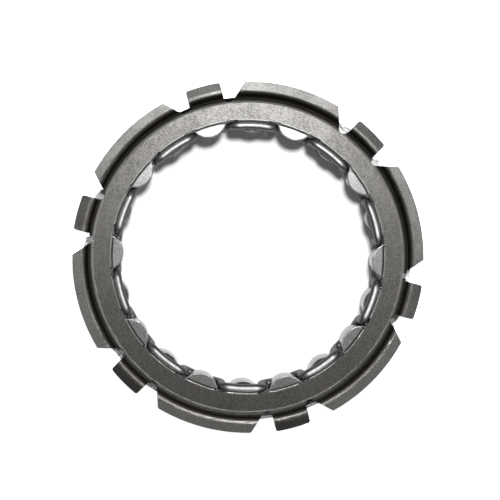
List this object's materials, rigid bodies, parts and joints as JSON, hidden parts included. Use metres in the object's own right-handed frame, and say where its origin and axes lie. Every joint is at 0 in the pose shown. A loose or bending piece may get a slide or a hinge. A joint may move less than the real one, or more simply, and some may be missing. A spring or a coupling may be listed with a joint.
{
  "type": "starter clutch",
  "caption": "One-way sprag clutch ring: a pressed cage and a flange plate with lugs hold tilting steel sprags, spaced by a bent wire, around an open bore for a gear hub",
  "frame": {"origin": "on the axis of rotation, in the plane of the back face of the cage", "axes": "+Z is the axis of rotation and points out of the front side, where the lugs are; +X is 15 degrees clockwise from the middle of the first lug, seen from the front"},
  "size_m": [0.073, 0.073, 0.017],
  "materials": {
    "flange_steel": "tumbled and lightly phosphated sheet steel, satin, dark grey with a brown cast",
    "cage_steel": "deep-drawn hardened sheet steel, satin grey",
    "sprag_steel": "hardened bearing steel, ground noses and tumbled ends",
    "spring_steel": "bright drawn spring wire, polished"
  },
  "bodies": {
    "cage": {"cage_body": "cage_steel", "flange_plate": "flange_steel"},
    "separator": {"separator_spring": "spring_steel"},
    "sprag_01": {"sprag_01": "sprag_steel"},
    "sprag_02": {"sprag_02": "sprag_steel"},
    "sprag_03": {"sprag_03": "sprag_steel"},
    "sprag_04": {"sprag_04": "sprag_steel"},
    "sprag_05": {"sprag_05": "sprag_steel"},
    "sprag_06": {"sprag_06": "sprag_steel"},
    "sprag_07": {"sprag_07": "sprag_steel"},
    "sprag_08": {"sprag_08": "sprag_steel"},
    "sprag_09": {"sprag_09": "sprag_steel"},
    "sprag_10": {"sprag_10": "sprag_steel"},
    "sprag_11": {"sprag_11": "sprag_steel"},
    "sprag_12": {"sprag_12": "sprag_steel"},
    "sprag_13": {"sprag_13": "sprag_steel"},
    "sprag_14": {"sprag_14": "sprag_steel"},
    "sprag_15": {"sprag_15": "sprag_steel"},
    "sprag_16": {"sprag_16": "sprag_steel"},
    "sprag_17": {"sprag_17": "sprag_steel"},
    "sprag_18": {"sprag_18": "sprag_steel"},
    "sprag_19": {"sprag_19": "sprag_steel"},
    "sprag_20": {"sprag_20": "sprag_steel"}
  },
  "joints": [
    {"name": "separator_turn", "type": "hinge", "parent": "cage", "child": "separator", "pos_m": [0, 0, 0.007], "axis": [0, 0, 1], "range_deg": [-0.82, 0.55], "stiffness_Nm_per_rad": 0.02},
    {"name": "sprag_01_tilt", "type": "hinge", "parent": "cage", "child": "sprag_01", "pos_m": [0.0343, -0.00138, 0.00762], "axis": [0, 0, 1], "range_deg": [-4, 6]},
    {"name": "sprag_02_tilt", "type": "hinge", "parent": "cage", "child": "sprag_02", "pos_m": [0.03305, 0.00929, 0.00637], "axis": [0, 0, 1], "range_deg": [-4, 6]},
    {"name": "sprag_03_tilt", "type": "hinge", "parent": "cage", "child": "sprag_03", "pos_m": [0.02856, 0.01905, 0.00762], "axis": [0, 0, 1], "range_deg": [-4, 6]},
    {"name": "sprag_04_tilt", "type": "hinge", "parent": "cage", "child": "sprag_04", "pos_m": [0.02128, 0.02694, 0.00637], "axis": [0, 0, 1], "range_deg": [-4, 6]},
    {"name": "sprag_05_tilt", "type": "hinge", "parent": "cage", "child": "sprag_05", "pos_m": [0.01191, 0.0322, 0.00762], "axis": [0, 0, 1], "range_deg": [-4, 6]},
    {"name": "sprag_06_tilt", "type": "hinge", "parent": "cage", "child": "sprag_06", "pos_m": [0.00138, 0.0343, 0.00637], "axis": [0, 0, 1], "range_deg": [-4, 6]},
    {"name": "sprag_07_tilt", "type": "hinge", "parent": "cage", "child": "sprag_07", "pos_m": [-0.00929, 0.03305, 0.00762], "axis": [0, 0, 1], "range_deg": [-4, 6]},
    {"name": "sprag_08_tilt", "type": "hinge", "parent": "cage", "child": "sprag_08", "pos_m": [-0.01905, 0.02856, 0.00637], "axis": [0, 0, 1], "range_deg": [-4, 6]},
    {"name": "sprag_09_tilt", "type": "hinge", "parent": "cage", "child": "sprag_09", "pos_m": [-0.02694, 0.02128, 0.00762], "axis": [0, 0, 1], "range_deg": [-4, 6]},
    {"name": "sprag_10_tilt", "type": "hinge", "parent": "cage", "child": "sprag_10", "pos_m": [-0.0322, 0.01191, 0.00637], "axis": [0, 0, 1], "range_deg": [-4, 6]},
    {"name": "sprag_11_tilt", "type": "hinge", "parent": "cage", "child": "sprag_11", "pos_m": [-0.0343, 0.00138, 0.00762], "axis": [0, 0, 1], "range_deg": [-4, 6]},
    {"name": "sprag_12_tilt", "type": "hinge", "parent": "cage", "child": "sprag_12", "pos_m": [-0.03305, -0.00929, 0.00637], "axis": [0, 0, 1], "range_deg": [-4, 6]},
    {"name": "sprag_13_tilt", "type": "hinge", "parent": "cage", "child": "sprag_13", "pos_m": [-0.02856, -0.01905, 0.00762], "axis": [0, 0, 1], "range_deg": [-4, 6]},
    {"name": "sprag_14_tilt", "type": "hinge", "parent": "cage", "child": "sprag_14", "pos_m": [-0.02128, -0.02694, 0.00637], "axis": [0, 0, 1], "range_deg": [-4, 6]},
    {"name": "sprag_15_tilt", "type": "hinge", "parent": "cage", "child": "sprag_15", "pos_m": [-0.01191, -0.0322, 0.00762], "axis": [0, 0, 1], "range_deg": [-4, 6]},
    {"name": "sprag_16_tilt", "type": "hinge", "parent": "cage", "child": "sprag_16", "pos_m": [-0.00138, -0.0343, 0.00637], "axis": [0, 0, 1], "range_deg": [-4, 6]},
    {"name": "sprag_17_tilt", "type": "hinge", "parent": "cage", "child": "sprag_17", "pos_m": [0.00929, -0.03305, 0.00762], "axis": [0, 0, 1], "range_deg": [-4, 6]},
    {"name": "sprag_18_tilt", "type": "hinge", "parent": "cage", "child": "sprag_18", "pos_m": [0.01905, -0.02856, 0.00637], "axis": [0, 0, 1], "range_deg": [-4, 6]},
    {"name": "sprag_19_tilt", "type": "hinge", "parent": "cage", "child": "sprag_19", "pos_m": [0.02694, -0.02128, 0.00762], "axis": [0, 0, 1], "range_deg": [-4, 6]},
    {"name": "sprag_20_tilt", "type": "hinge", "parent": "cage", "child": "sprag_20", "pos_m": [0.0322, -0.01191, 0.00637], "axis": [0, 0, 1], "range_deg": [-4, 6]}
  ],
  "couplings": [
    {"joint": "sprag_01_tilt", "follows": "separator_turn", "ratio": -7.2425},
    {"joint": "sprag_02_tilt", "follows": "separator_turn", "ratio": -7.2425},
    {"joint": "sprag_03_tilt", "follows": "separator_turn", "ratio": -7.2425},
    {"joint": "sprag_04_tilt", "follows": "separator_turn", "ratio": -7.2425},
    {"joint": "sprag_05_tilt", "follows": "separator_turn", "ratio": -7.2425},
    {"joint": "sprag_06_tilt", "follows": "separator_turn", "ratio": -7.2425},
    {"joint": "sprag_07_tilt", "follows": "separator_turn", "ratio": -7.2425},
    {"joint": "sprag_08_tilt", "follows": "separator_turn", "ratio": -7.2425},
    {"joint": "sprag_09_tilt", "follows": "separator_turn", "ratio": -7.2425},
    {"joint": "sprag_10_tilt", "follows": "separator_turn", "ratio": -7.2425},
    {"joint": "sprag_11_tilt", "follows": "separator_turn", "ratio": -7.2425},
    {"joint": "sprag_12_tilt", "follows": "separator_turn", "ratio": -7.2425},
    {"joint": "sprag_13_tilt", "follows": "separator_turn", "ratio": -7.2425},
    {"joint": "sprag_14_tilt", "follows": "separator_turn", "ratio": -7.2425},
    {"joint": "sprag_15_tilt", "follows": "separator_turn", "ratio": -7.2425},
    {"joint": "sprag_16_tilt", "follows": "separator_turn", "ratio": -7.2425},
    {"joint": "sprag_17_tilt", "follows": "separator_turn", "ratio": -7.2425},
    {"joint": "sprag_18_tilt", "follows": "separator_turn", "ratio": -7.2425},
    {"joint": "sprag_19_tilt", "follows": "separator_turn", "ratio": -7.2425},
    {"joint": "sprag_20_tilt", "follows": "separator_turn", "ratio": -7.2425}
  ]
}
